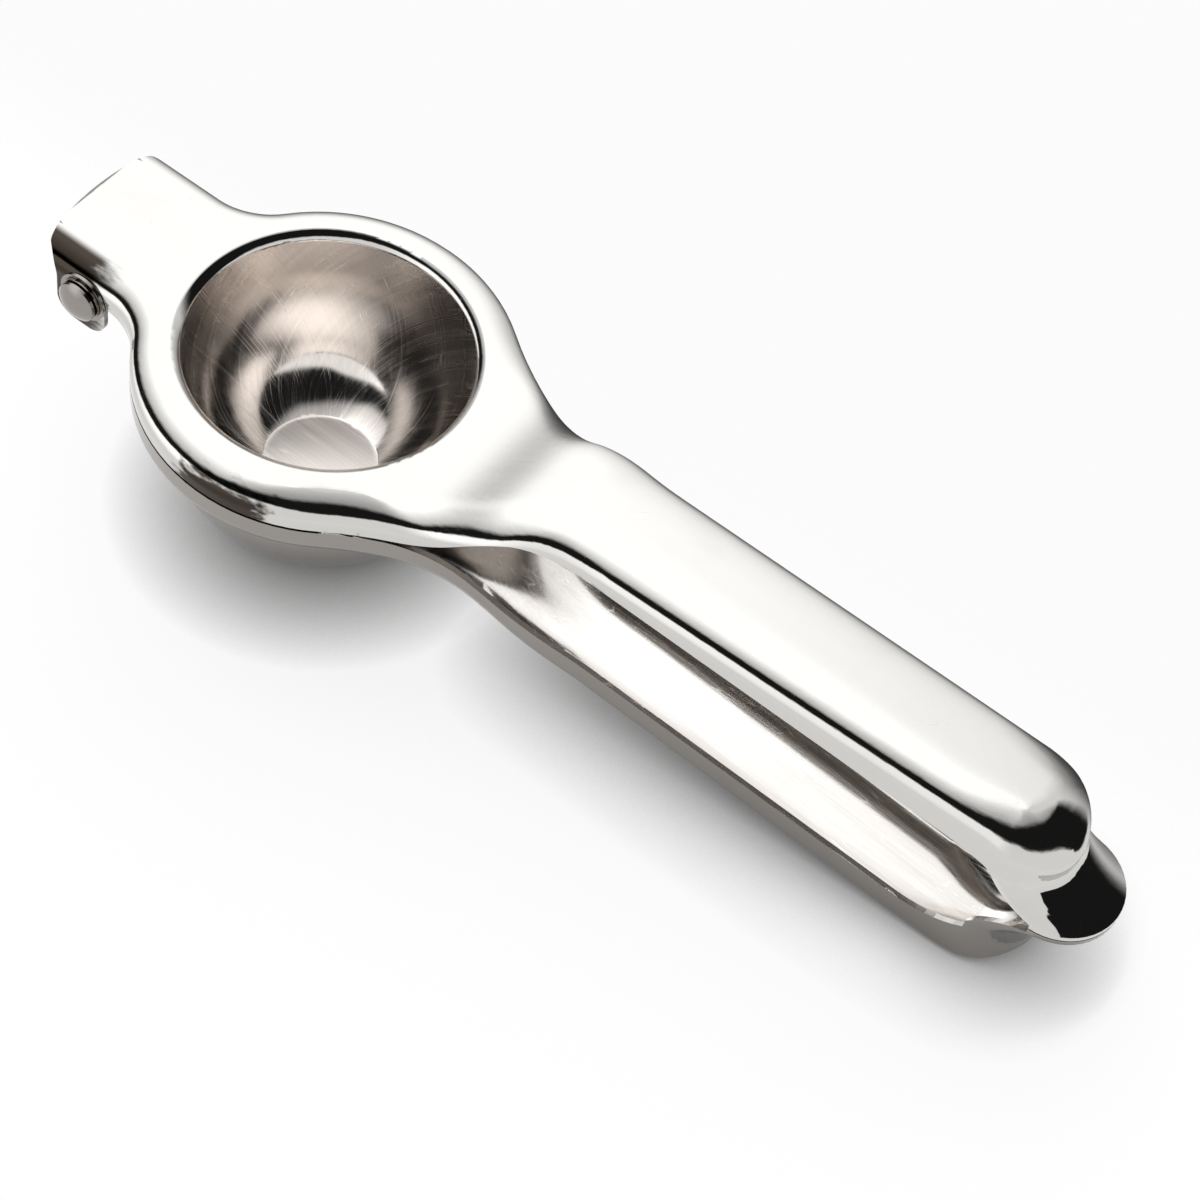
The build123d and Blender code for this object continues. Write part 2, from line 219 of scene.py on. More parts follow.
within = ramp(floorTree, spotLength.outputs["Value"], ground["reach"] / 2, ground["reach"], 1, 0)
feed(floorTree, floorShader.inputs["Alpha"], maths(floorTree, "MULTIPLY", inFront, within))
floorMesh.materials.append(floorFinish)
print("studio and floor set up")


# Steel finishes are built from shared groups that work in millimetres
def shaderGroup(name, inlets, outlets):
    group = bpy.data.node_groups.new(name, "ShaderNodeTree")
    for inlet, start in inlets.items():
        kind = "NodeSocketVector" if inlet == "Position" else "NodeSocketFloat"
        made = group.interface.new_socket(name=inlet, in_out="INPUT", socket_type=kind)
        if start is not None:
            made.default_value = start
    for outlet in outlets:
        group.interface.new_socket(name=outlet, in_out="OUTPUT", socket_type="NodeSocketFloat")
    return group, addNode(group, "NodeGroupInput").outputs, addNode(group, "NodeGroupOutput").inputs


def useGroup(tree, group, **values):
    node = addNode(tree, "ShaderNodeGroup", node_tree=group)
    for name, value in values.items():
        feed(tree, node.inputs[name], value)
    return node.outputs


def streaks(tree, place, turn, scale, detail=2.0):
    # Noise drawn out along one direction: turned by the angles, then scaled per axis
    mapping = addNode(tree, "ShaderNodeMapping", vector_type="TEXTURE")
    feed(tree, mapping.inputs["Vector"], place)
    mapping.inputs["Rotation"].default_value = [radians(a) for a in turn]
    mapping.inputs["Scale"].default_value = [1 / s for s in scale]
    noise = addNode(tree, "ShaderNodeTexNoise", noise_dimensions="3D")
    feed(tree, noise.inputs["Vector"], mapping.outputs[0])
    noise.inputs["Scale"].default_value = 1.0
    noise.inputs["Detail"].default_value = detail
    return noise.outputs[0]


def hairlines(tree, place, turn, scale, width, rarity):
    # Thin lines where drawn-out noise crosses its middle, kept in some patches only
    line = maths(tree, "ABSOLUTE", maths(tree, "SUBTRACT", streaks(tree, place, turn, scale, 0.0), 0.5))
    patch = ramp(tree, streaks(tree, place, turn, [s * 0.37 for s in scale], 1.0), rarity, rarity + 0.08)
    return maths(tree, "MULTIPLY", ramp(tree, line, 0, width, 1, 0), patch)


polish = {
    "smudge": ((0, 0, 20), (0.05, 0.09, 0.07), 4.0),       # turn, scale and detail of its noise
    "smudged": (0.5, 0.75),                                # noise between which a smudge begins
    "grain": ((0, 0, 3), (0.1, 4.0, 4.0)),
    "wave": ((0, 0, 0), (0.3, 0.75, 0.75), 3.0),
    "scratches": [((0, 10, 28), (0.05, 1.1, 1.1), 0.006, 0.55),       # turn, scale, width, rarity
                  ((20, -15, -50), (0.06, 0.9, 0.9), 0.005, 0.58)],
    "roughness": {"smudge": 0.05, "grain": 0.03, "scratch": 0.12},
    "grainHeight": 0.0004,
    "shade": {"smudge": -0.04, "scratch": -0.1},
}


def wornPolishGroup():
    # Mirror polish: drawn-out waviness, buffing grain, hairline scratches, smudges
    group, inlet, outlet = shaderGroup(
        "wornPolish", {"Position": None, "Base": 0.04, "Wave": 0.01, "Scratch": 1.0, "Smudge": 1.0},
        ("Roughness", "Height", "Shade"))
    place = inlet["Position"]
    smudge = ramp(group, streaks(group, place, *polish["smudge"]), *polish["smudged"])
    smudge = maths(group, "MULTIPLY", smudge, inlet["Smudge"])
    grain = maths(group, "SUBTRACT", streaks(group, place, *polish["grain"]), 0.5)
    wave = maths(group, "SUBTRACT", streaks(group, place, *polish["wave"]), 0.5)
    scratches = [hairlines(group, place, *lines) for lines in polish["scratches"]]
    scratch = maths(group, "MULTIPLY", maths(group, "MAXIMUM", *scratches), inlet["Scratch"])
    share = polish["roughness"]
    rough = maths(group, "MULTIPLY_ADD", smudge, share["smudge"], inlet["Base"])
    rough = maths(group, "MULTIPLY_ADD", grain, share["grain"], rough)
    feed(group, outlet["Roughness"], maths(group, "MULTIPLY_ADD", scratch, share["scratch"], rough))
    height = maths(group, "MULTIPLY", wave, inlet["Wave"])
    feed(group, outlet["Height"], maths(group, "MULTIPLY_ADD", grain, polish["grainHeight"], height))
    share = polish["shade"]
    shade = maths(group, "MULTIPLY_ADD", smudge, share["smudge"], 1.0)
    feed(group, outlet["Shade"], maths(group, "MULTIPLY_ADD", scratch, share["scratch"], shade))
    return group


sanding = {
    "fine": (0.05, 1.9),             # scale along the streaks and across them
    "coarse": (0.03, 0.5),
    "fineShare": 0.6,
    "middle": 0.8,                   # mean of both sets of streaks together
    "lines": ((0.5, 0.016, 0.42), (0.42, 0.013, 0.46)),    # share of the fine scale, width, rarity
    "roughness": (0.16, 0.1),        # of the streaks and of the lines
    "height": (0.004, -0.003),
    "shade": (0.35, 0.3),
    "girth": 26,                     # in the cup, the drum's radius that the streaks are wound on
    "twists": (0.032, -0.02),        # radians per millimetre of height, one for each set of streaks
    "discTop": 6.78,                 # below this height lies the flat disc, with plain lines
    "discScale": (0.02, 0.9, 1),
}


def twisted(tree, place, twist, girth):
    # Place on an upright drum of that radius, wound round by the twist
    axes = addNode(tree, "ShaderNodeSeparateXYZ")
    feed(tree, axes.inputs[0], place)
    flat = addNode(tree, "ShaderNodeCombineXYZ")
    feed(tree, flat.inputs[0], axes.outputs[0])
    feed(tree, flat.inputs[1], axes.outputs[1])
    unit = addNode(tree, "ShaderNodeVectorMath", operation="NORMALIZE")
    feed(tree, unit.inputs[0], flat.outputs[0])
    drum = addNode(tree, "ShaderNodeVectorMath", operation="SCALE")
    feed(tree, drum.inputs[0], unit.outputs[0])
    drum.inputs["Scale"].default_value = girth
    wound = addNode(tree, "ShaderNodeVectorRotate", rotation_type="Z_AXIS")
    feed(tree, wound.inputs["Vector"], drum.outputs[0])
    feed(tree, wound.inputs["Angle"], maths(tree, "MULTIPLY", axes.outputs[2], twist))
    turned = addNode(tree, "ShaderNodeSeparateXYZ")
    feed(tree, turned.inputs[0], wound.outputs[0])
    joined = addNode(tree, "ShaderNodeCombineXYZ")
    for i, value in enumerate((turned.outputs[0], turned.outputs[1], axes.outputs[2])):
        feed(tree, joined.inputs[i], value)
    straight = addNode(tree, "ShaderNodeVectorMath", operation="MULTIPLY")
    feed(tree, straight.inputs[0], place)
    straight.inputs[1].default_value = sanding["discScale"]
    choice = addNode(tree, "ShaderNodeMix", data_type="VECTOR")
    feed(tree, choice.inputs[0], maths(tree, "LESS_THAN", axes.outputs[2], sanding["discTop"]))
    feed(tree, choice.inputs[4], joined.outputs[0])
    feed(tree, choice.inputs[5], straight.outputs[0])
    return choice.outputs[1]


def sandedGroup(name, wound):
    # Satin left by sanding: crossed streaks and long hairlines, wound round a cup or along a lever
    group, inlet, outlet = shaderGroup(
        name, {"Position": None, "Base": 0.25, "Depth": 1.0}, ("Roughness", "Height", "Shade"))
    place = inlet["Position"]
    if wound:
        first, second = [twisted(group, place, twist, sanding["girth"]) for twist in sanding["twists"]]
        along = 2
    else:
        first, second, along = place, place, 0
    fine = [sanding["fine"][0 if i == along else 1] for i in range(3)]
    coarse = [sanding["coarse"][0 if i == along else 1] for i in range(3)]
    streak = maths(group, "MULTIPLY_ADD", streaks(group, second, (0, 0, 0), fine, 3.0),
                   sanding["fineShare"], streaks(group, first, (0, 0, 0), coarse, 3.0))
    mix = maths(group, "SUBTRACT", streak, sanding["middle"])
    lines = maths(group, "MAXIMUM", *[
        hairlines(group, wrapped, (0, 0, 0), [s * share for s in fine], width, rarity)
        for wrapped, (share, width, rarity) in zip((first, second), sanding["lines"])])
    ofMix, ofLines = sanding["roughness"]
    rough = maths(group, "MULTIPLY_ADD", mix, ofMix, inlet["Base"])
    feed(group, outlet["Roughness"], maths(group, "MULTIPLY_ADD", lines, ofLines, rough))
    ofMix, ofLines = sanding["height"]
    height = maths(group, "MULTIPLY_ADD", mix, ofMix, maths(group, "MULTIPLY", lines, ofLines))
    feed(group, outlet["Height"], maths(group, "MULTIPLY", height, inlet["Depth"]))
    ofMix, ofLines = sanding["shade"]
    shade = maths(group, "MULTIPLY_ADD", mix, ofMix, 1.0)
    feed(group, outlet["Shade"], maths(group, "MULTIPLY_ADD", lines, ofLines, shade))
    return group


wornPolish = wornPolishGroup()
sandedCup = sandedGroup("sandedCup", True)
sandedSheet = sandedGroup("sandedSheet", False)


def millimetres(tree):
    place = addNode(tree, "ShaderNodeVectorMath", operation="SCALE")
    feed(tree, place.inputs[0], addNode(tree, "ShaderNodeTexCoord").outputs["Object"])
    place.inputs["Scale"].default_value = 1000
    return place.outputs[0]


def metal(name, colour, group, paintedDarkMask=None, **values):
    # Metal whose tone, roughness and relief come from one of the shared groups
    finish = bpy.data.materials.new(name)
    finish.use_nodes = True
    tree = finish.node_tree
    shader = tree.nodes["Principled BSDF"]
    shader.inputs["Metallic"].default_value = 1.0
    place = millimetres(tree)
    given = {key: value(tree, place) if callable(value) else value for key, value in values.items()}
    wear = useGroup(tree, group, Position=place, **given)
    tone = addNode(tree, "ShaderNodeVectorMath", operation="SCALE")
    tone.inputs[0].default_value = colour
    feed(tree, tone.inputs["Scale"], wear["Shade"])
    shown = tone.outputs[0]
    # A painted dark reflection, where given, blends the tone towards a dark brown share of it
    if paintedDarkMask:
        brown = addNode(tree, "ShaderNodeVectorMath", operation="MULTIPLY")
        feed(tree, brown.inputs[0], shown)
        brown.inputs[1].default_value = steelTone["paintedReflection"]
        shown = blendColour(tree, paintedDarkMask(tree, place), shown, brown.outputs[0])
    feed(tree, shader.inputs["Base Color"], shown)
    feed(tree, shader.inputs["Roughness"], wear["Roughness"])
    relief = addNode(tree, "ShaderNodeBump")
    relief.inputs["Strength"].default_value = 1.0
    relief.inputs["Distance"].default_value = 0.001
    feed(tree, relief.inputs["Height"], wear["Height"])
    feed(tree, shader.inputs["Normal"], relief.outputs[0])
    return finish


steelTone = {
    "lever": (0.63, 0.62, 0.60),
    # The tray's tone is darker than the lever's: painted shade, standing in for the shadowed floor that
    # the tray's and bowl's outer walls mirror
    "tray": (0.30, 0.28, 0.26),
    "cup": (0.80, 0.75, 0.71),
    "underside": (0.36, 0.33, 0.30),
    "trough": (0.80, 0.77, 0.74),
    "edge": (0.55, 0.53, 0.51),
    "dullEdge": (0.22, 0.20, 0.18),
    "pin": (0.30, 0.28, 0.26),
    "paintedReflection": (0.08, 0.065, 0.055),     # painted dark reflection: takes this share of the lever's tone
}


cupSatinRise = {
    "wallHeights": (13, 27),        # where the polished bend turns into the satin wall
    "wall": (0.1, 0.24),            # roughness below and above
    "discHeights": (6.72, 6.8),
    "disc": (0.22, 0.0),            # added on the flat disc, and above it
}


def cupRoughness(tree, place):
    # The cup's wall is satin; its bottom bend keeps the polish, the flat disc is sanded again
    axes = addNode(tree, "ShaderNodeSeparateXYZ")
    feed(tree, axes.inputs[0], place)
    wall = ramp(tree, axes.outputs[2], *cupSatinRise["wallHeights"], *cupSatinRise["wall"])
    disc = ramp(tree, axes.outputs[2], *cupSatinRise["discHeights"], *cupSatinRise["disc"])
    return maths(tree, "ADD", wall, disc)


# Where the lever's tone is painted dark, standing in for the room mirrored near the hinge
paintedReflection = {
    "noise": ((0, 0, 0), (0.25, 0.9, 0.9), 4.0),
    "fray": (9, 7),                 # how far its border frays, along the tool and upwards
    "earAlong": (-43, -37),
    "earAcross": (-12.2, -10.6),
    "skirtMiddle": 4,
    "skirtHalf": (7, 10),
    "skirtAcross": (-29, -28),
    "skirtTop": (36, 38.5),
}


def paintHingeReflection(tree, place):
    # Painted reflection of the dark room: brown patches on the near ear and on the skirt's near side,
    # with a frayed border
    axes = addNode(tree, "ShaderNodeSeparateXYZ")
    feed(tree, axes.inputs[0], place)
    x, y, z = axes.outputs
    fray = maths(tree, "SUBTRACT", streaks(tree, place, *paintedReflection["noise"]), 0.5)
    x = maths(tree, "MULTIPLY_ADD", fray, paintedReflection["fray"][0], x)
    z = maths(tree, "MULTIPLY_ADD", fray, paintedReflection["fray"][1], z)
    ear = maths(tree, "MULTIPLY", ramp(tree, x, *paintedReflection["earAlong"], 1, 0),
                ramp(tree, y, *paintedReflection["earAcross"], 1, 0))
    away = maths(tree, "ABSOLUTE", maths(tree, "SUBTRACT", x, paintedReflection["skirtMiddle"]))
    skirt = maths(tree, "MULTIPLY", ramp(tree, y, *paintedReflection["skirtAcross"], 1, 0),
                  ramp(tree, z, *paintedReflection["skirtTop"], 1, 0))
    skirt = maths(tree, "MULTIPLY", ramp(tree, away, *paintedReflection["skirtHalf"], 1, 0), skirt)
    return maths(tree, "MAXIMUM", ear, skirt)


# The lever's tone carries a painted dark reflection near the hinge
leverSteel = metal("leverSteel", steelTone["lever"], wornPolish, paintHingeReflection, Base=0.04, Wave=0.012)
traySteel = metal("traySteel", steelTone["tray"], wornPolish, Base=0.07, Wave=0.006)
cupSatin = metal("cupSatin", steelTone["cup"], sandedCup, Base=cupRoughness, Depth=1.0)
underSteel = metal("underSteel", steelTone["underside"], sandedSheet, Base=0.3, Depth=1.0)
troughSteel = metal("troughSteel", steelTone["trough"], sandedSheet, Base=0.14, Depth=0.6)
edgeSteel = metal("edgeSteel", steelTone["edge"], sandedSheet, Base=0.2, Depth=0.5)
dullEdge = metal("dullEdge", steelTone["dullEdge"], sandedSheet, Base=0.25, Depth=0.5)
pinSteel = metal("pinSteel", steelTone["pin"], wornPolish, Base=0.14, Wave=0.002)


# Both levers share this plan, apart from the tongue; sizes in millimetres and degrees
plan = {
    "head": 34.8,
    "neck": 81.0,
    "root": 12.3,
    "tip": 10.8,
    "nose": 146.8,
}
pressShape = {
    "node": "press_lever",
    "body": "press",
    "tongue": 15.6,
    "shoulder": 12.7,
    "jog": (28.0, 21.7, 37.0, 9.2, 0.6),    # start, radius, angle, rise, slope behind it
    "jogShare": 1.0,                        # below 1 its bends are drawn softer than they are
    "broad": 0.74,                          # share of the roll's turn that is spread inwards
    "up": 1,                                # the outer skin's cap faces up
    "outerRoll": 4.4,                       # how fast the crown rolls over into the skirt
    "innerRoll": 2.4,
    "spheres": [(30.5, 26.1, -1), (30.5, 27.1, 1)],     # centre height, radius, facing
    "cup": {"radius": 26.3, "top": 38.3, "middle": 34},
    "cupRim": {                             # its bend is redrawn, as degrees turned between two depths
        "from": 26.05, "to": 27.95, "start": 27.9, "foot": 38.1, "top": 40,
        "turns": [(32, 0, 0.5), (16, 0.3, 3.0), (42, 2.8, 3.6)],
    },
    "lip": {"waist": 38.6, "brim": 31.15, "angle": 56, "reach": 9.8},
    "lipShading": {                         # redrawn slopes of the lip, not the sheet's own
        "middle": 30, "side": 54,           # degrees, ahead of a border round the nose and past it
        "border": (-41, -58),               # degrees round the nose at the waist and at the brim
        "waistSlope": 0.977, "slopeSpan": 0.79, "blur": (-2, 6),
    },
    "finishes": [leverSteel, underSteel, dullEdge, cupSatin],    # outer, inner, edge, cup
}
strainerShape = {
    "node": "strainer_lever",
    "body": "strainer",
    "tongue": 12.5,
    "shoulder": 1.8,
    "jog": (28.5, 28.0, 33.0, -12.9, -3.3),
    "jogShare": 0.38,
    "broad": 1.0,
    "up": -1,
    "outerRoll": 1.0,
    "innerRoll": 3.6,
    "spheres": [(25.0, 30.1, 1), (25.0, 29.1, -1)],
    "lip": {"waist": 22.0, "brim": 30.85, "angle": 56, "reach": 9.8},
    "finishes": [traySteel, troughSteel, edgeSteel],
}


def arc(cx, cy, radius, start, end, hollow=False, step=0.5):
    # Points and outward directions along an arc, angles in radians
    count = max(2, int(abs(end - start) * radius / step))
    side = -1 if hollow else 1
    made = []
    for i in range(count + 1):
        a = start + (end - start) * i / count
        made.append((cx + radius * cos(a), cy + radius * sin(a), side * cos(a), side * sin(a)))
    return made


def planEdge(shape):
    # The lever's edge in plan, from the tongue's rear round to the nose, on both sides
    reach = plan["head"] + shape["shoulder"]
    high = shape["tongue"] + shape["shoulder"]
    back = -(reach ** 2 - high ** 2) ** 0.5
    taper = atan((plan["root"] - plan["tip"]) / plan["nose"])
    n, t = Vector((sin(taper), cos(taper))), Vector((cos(taper), -sin(taper)))
    offset = plan["root"] * cos(taper) + plan["neck"]
    middle = n * offset + t * ((plan["head"] + plan["neck"]) ** 2 - offset ** 2) ** 0.5
    foot = middle - n * plan["neck"]
    start, end = atan2(high, back), atan2(middle.y, middle.x)    # angles round the head
    made = [(x / 2, shape["tongue"], 0, 1) for x in range(-130, int(2 * back))]
    made += arc(back, high, shape["shoulder"], 1.5 * pi, start + pi, True)
    made += arc(0, 0, plan["head"], start, end)
    made += arc(middle.x, middle.y, plan["neck"], end + pi, 1.5 * pi - taper, True)
    run = int((plan["nose"] - foot.x) * 2)
    made += [(foot.x + i / 2 * t.x, foot.y + i / 2 * t.y, n.x, n.y) for i in range(1, run)]
    made += arc(plan["nose"], 0, plan["tip"] * cos(taper), pi / 2 - taper, 0)
    return made + [(x, -y, u, -v) for x, y, u, v in made]


def jogSlope(x, jog):
    # Slope of the cap's side view at x, in radians, without the drop over the nose
    start, radius, angle, change, after = jog
    side = 1 if change > 0 else -1
    steep, rest = radians(angle), radians(abs(after))
    climb = (abs(change) - radius * (1 + cos(rest) - 2 * cos(steep))) / sin(steep)
    top = start + radius * sin(steep)
    off = top + climb * cos(steep)
    if x < start:
        return 0.0
    if x < top:
        return side * asin((x - start) / radius)
    if x < off:
        return side * steep
    return side * asin(max(sin(rest), sin(steep) - (x - off) / radius))


def smoothStep(value, start, end):
    share = min(max((value - start) / (end - start), 0), 1)
    return share * share * (3 - 2 * share)


# How the drawn skin rolls over; places along the tool and depths inside its edge, in millimetres
rolled = {
    "jogStep": 1.5,              # spacing of the seven jog slopes that are averaged
    "rubAngle": 50,              # degrees that the tongue's rear edge is rubbed round
    "rubPlace": (54.1, 54.7),
    "nose": (134, 152),          # where the channel turns into the nose's dome
    "root": (26, 60),            # where the head turns into the handle
    "headFade": (3.0, 6.6),      # depths between which the roll ends on the head
    "handleMore": (2.5, 4.2),    # how much deeper they are on the handle
    "domeFade": 5.5,
    "tight": 0.3,                # roll of the share that isn't spread inwards
}


def skinNormal(x, d, edge, shape, roll):
    # Direction of the rolled skin d inside the plan's edge: level on the cap, upright at the edge
    slopes = [jogSlope(x + i * rolled["jogStep"], shape["jog"]) for i in range(-3, 4)]
    tilt = sum(slopes) / 7 * shape["jogShare"]
    tilt += radians(rolled["rubAngle"]) * smoothStep(-x, *rolled["rubPlace"])
    nose = smoothStep(x, *rolled["nose"])
    root = smoothStep(x, *rolled["root"])
    start, end = [depth + more * root for depth, more in zip(rolled["headFade"], rolled["handleMore"])]
    long = exp(-max(d, 0) / roll) * (1 - smoothStep(d, start, end))
    dome = exp(-max(d, 0) / plan["tip"]) * (1 - smoothStep(d, rolled["domeFade"], plan["tip"]))
    broad = shape["broad"]
    lean = broad * ((1 - nose) * long + nose * dome) + (1 - broad) * exp(-max(d, 0) / rolled["tight"])
    rise = (1 - lean * lean) ** 0.5
    cap = Vector((-sin(tilt), 0, cos(tilt)))
    return (Vector((edge[2], edge[3], 0)) * lean + cap * rise * shape["up"]).normalized()


def lipSlope(z, lip):
    # Slope of the flared lip's arc at height z, in radians below level, and how far out it is there
    steep = radians(lip["angle"])
    rise = abs(lip["brim"] - lip["waist"]) - 1
    turn = 2 * (steep - atan2(rise, lip["reach"]))
    radius = hypot(lip["reach"], rise) / 2 / sin(turn / 2)
    slope = acos(min(cos(steep) + abs(z - lip["waist"]) / radius, 1))
    return slope, radius * (sin(steep) - sin(slope))


# How near a point has to be to a drawn surface, in millimetres
snap = {"sphere": 0.06, "lip": 0.12}


def drawnNormals(shape, x, y, z):
    # Directions for a point on the cup or bowl, where they are exact, and on the cup's rim and
    # the press lever's lip, where they are redrawn and leave the sheet's own slope
    found = []
    for centre, radius, out in shape["spheres"]:
        spoke = Vector((x, y, min(z - centre, 0)))
        if abs(spoke.length - radius) < snap["sphere"]:
            found.append(spoke.normalized() * out)
    rim = shape.get("cupRim")
    away = hypot(x, y)
    if rim and rim["from"] < away < rim["to"] and z > rim["foot"]:
        down = max(rim["start"] - away, 0) + max(rim["top"] - z, 0)
        turn = radians(sum(angle * smoothStep(down, start, end) for angle, start, end in rim["turns"]))
        found.append(Vector((-x / away * sin(turn), -y / away * sin(turn), cos(turn))))
    lip = shape["lip"]
    across = y / plan["tip"]
    low, high = sorted((lip["waist"], lip["brim"]))
    if x > plan["nose"] and abs(across) < 1 and low < z < high:
        slope, shift = lipSlope(z, lip)
        along = (1 - across ** 2) ** 0.5
        if abs(x - plan["nose"] - shift - plan["tip"] * along) < snap["lip"]:
            fall = along * cos(slope)
            drawn = shape.get("lipShading")
            if drawn:
                start, end = drawn["border"]
                climb = min(max((drawn["waistSlope"] - slope) / drawn["slopeSpan"], 0), 1)
                border = start + (end - start) * climb
                turned = smoothStep(border - asin(across) * 180 / pi, *drawn["blur"])
                slope = radians(drawn["middle"] + (drawn["side"] - drawn["middle"]) * turned)
                fall = cos(slope)
            normal = Vector((along * sin(slope), across * sin(slope), fall * shape["up"]))
            found.append(normal.normalized())
    return found


def meshOf(holder):
    # The mesh that an object's modifiers make; the object itself goes
    bpy.context.view_layer.update()
    made = bpy.data.meshes.new_from_object(holder.evaluated_get(bpy.context.evaluated_depsgraph_get()))
    bpy.data.objects.remove(holder)
    return made


def gridCuts(skin, axis, start, end, step):
    # Cuts the broad level faces into strips, so that a normal can change along them
    count = int((end - start) / step)
    direction = Vector([1 if i == axis else 0 for i in range(3)])
    for i in range(count + 1):
        faces = [f for f in skin.faces if abs(f.normal.z) > 0.6 and f.calc_area() > 1.5e-6]
        edges = {e for f in faces for e in f.edges}
        verts = {v for f in faces for v in f.verts}
        bmesh.ops.bisect_plane(skin, geom=faces + list(edges) + list(verts), dist=1e-7,
                               plane_co=direction * (start + i * step), plane_no=direction)


def overLip(shape, z, margin):
    # Whether a height in millimetres is the lip's or within that margin of its waist
    return (z - shape["lip"]["waist"]) * shape["up"] < margin


# Borders between the finishes, and between drawn and plain normals; millimetres
skinRules = {
    "lipFrom": 147,              # past this the lip's faces go by which way they face
    "lipMargin": 0.3,
    "lipLevel": 0.05,            # least upward part of such a face's normal
    "edgeFacing": 0.75,          # how squarely a face of the sheet's edge faces down or back
    "edgeDepth": (-0.4, 1.4),
    "tongueEnd": -50,
    "keepCup": 27.85,            # inside this radius, past the tip and round the lip's foot
    "keepTip": 158,              # the mesh's own normals stay unless a drawn one is close
    "keepFoot": 146,
    "keepMargin": 1.9,
    "drawnAlike": 0.8,           # least likeness of a drawn normal, as a dot product
    "lipAlike": 0.6,
    "rolledAlike": (0.78, 0.93),
}


def finishOf(shape, face, outer, inner, d):
    # Which of the lever's finishes a face takes: 0 outer, 1 inner, 2 edge, 3 press cup
    middle, facing = face.center * 1000, Vector(face.normal)
    rules, cup = skinRules, shape.get("cup")
    if cup and hypot(middle.x, middle.y) < cup["radius"] and -0.1 < facing.z and middle.z < cup["top"]:
        if facing.dot(middle - Vector((0, 0, cup["middle"]))) < 0:
            return 3
    onLip = middle.x > rules["lipFrom"] and overLip(shape, middle.z, rules["lipMargin"])
    if onLip and abs(facing.z) > rules["lipLevel"]:
        return int(facing.z * shape["up"] < -rules["lipLevel"])
    start, end = rules["edgeDepth"]
    sheetEdge = facing.z * shape["up"] < -rules["edgeFacing"] and start < d < end
    tongueEnd = facing.x < -rules["edgeFacing"] and middle.x < rules["tongueEnd"]
    return 2 if sheetEdge or tongueEnd else int(inner.dot(facing) > outer.dot(facing))


def keepsOwn(shape, x, y, z):
    # Whether a point keeps the mesh's own normals where no drawn one is close
    foot = x > skinRules["keepFoot"] and overLip(shape, z, skinRules["keepMargin"])
    return hypot(x, y) < skinRules["keepCup"] or x > skinRules["keepTip"] or foot


# How much further a rolled normal may stray at the nose, the tongue's rear and the jog; metres
leeway = {
    "nose": (0.25, 0.134, 0.146),
    "rear": (0.3, 0.054, 0.0545),
    "jog": (0.2, 0.013, 0.02),
    "jogPlace": 0.045,
}


def strays(along):
    nose, rear, jog = leeway["nose"], leeway["rear"], leeway["jog"]
    return (nose[0] * smoothStep(along, *nose[1:]) + rear[0] * smoothStep(-along, *rear[1:])
            + jog[0] * (1 - smoothStep(abs(along - leeway["jogPlace"]), *jog[1:])))


skinDetail = {
    "merge": 2e-6,                         # metres
    "strips": [(1, -0.033, 0.033, 0.0015),     # axis, start, end and step of the cuts
               (0, -0.054, 0.156, 0.003)],
    "sharp": 32,                           # degrees
}


def polishedSkin(shape):
    # A closed copy of the lever: the drawn or rolled normals where they are near its own
    mesh = nodes[shape["node"]].data.copy()
    mesh.materials.clear()
    for finish in shape["finishes"]:
        mesh.materials.append(finish)
    skin = bmesh.new()
    skin.from_mesh(mesh)
    bmesh.ops.remove_doubles(skin, verts=skin.verts, dist=skinDetail["merge"])
    skin.normal_update()
    for strip in skinDetail["strips"]:
        gridCuts(skin, *strip)
    bmesh.ops.triangulate(skin, faces=[f for f in skin.faces if len(f.verts) > 4])
    for face in skin.faces:
        face.smooth = True
    skin.to_mesh(mesh)
    skin.free()
    mesh.set_sharp_from_angle(angle=radians(skinDetail["sharp"]))
    holder = bpy.data.objects.new("raw", mesh)
    bpy.context.scene.collection.objects.link(holder)
    even = holder.modifiers.new("even", "WEIGHTED_NORMAL")
    even.mode = "FACE_AREA"
    even.weight = 50
    even.keep_sharp = True
    made = meshOf(holder)
    made.name = shape["node"] + "Polished"

    edges = planEdge(shape)
    finder = KDTree(len(edges))
    for i, (x, y, u, v) in enumerate(edges):
        finder.insert((x, y, 0), i)
    finder.balance()
    normals = [Vector(c.vector) for c in made.corner_normals]
    places = []
    for vert in made.vertices:
        x, y, z = vert.co * 1000
        edge = edges[finder.find((x, y, 0))[1]]
        d = (edge[0] - x) * edge[2] + (edge[1] - y) * edge[3]
        outer = skinNormal(x, d, edge, shape, shape["outerRoll"])
        inner = -skinNormal(x, d - 1, edge, shape, shape["innerRoll"])
        places.append((outer, inner, d, keepsOwn(shape, x, y, z), drawnNormals(shape, x, y, z)))
    for face in made.polygons:
        for loop, i in zip(face.loop_indices, face.vertices):
            outer, inner, d, keep, drawn = places[i]
            own, along = normals[loop], made.vertices[i].co.x
            alike = skinRules["lipAlike"] if along > 0.147 else skinRules["drawnAlike"]
            best = max(drawn, key=lambda n: n.dot(own)) if drawn else None
            if best and best.dot(own) > alike:
                normals[loop] = best
            elif not keep:
                guess = max(outer, inner, key=lambda n: n.dot(own))
                loose = strays(along)
                start, end = [edge - loose for edge in skinRules["rolledAlike"]]
                share = smoothStep(guess.dot(own), start, end)
                normals[loop] = own.lerp(guess, share).normalized()
        face.material_index = finishOf(shape, face, *places[face.vertices[0]][:3])
    made.normals_split_custom_set(normals)
    piece = bpy.data.objects.new(made.name, made)
    bpy.context.scene.collection.objects.link(piece)
    return piece


for node in nodes.values():
    node.data.materials.clear()
    node.data.materials.append(pinSteel)

for shape in (pressShape, strainerShape):
    piece = polishedSkin(shape)
    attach(piece, shape["body"])
    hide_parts(shape["node"])
    print(shape["node"], "polished:", len(piece.data.polygons), "faces")


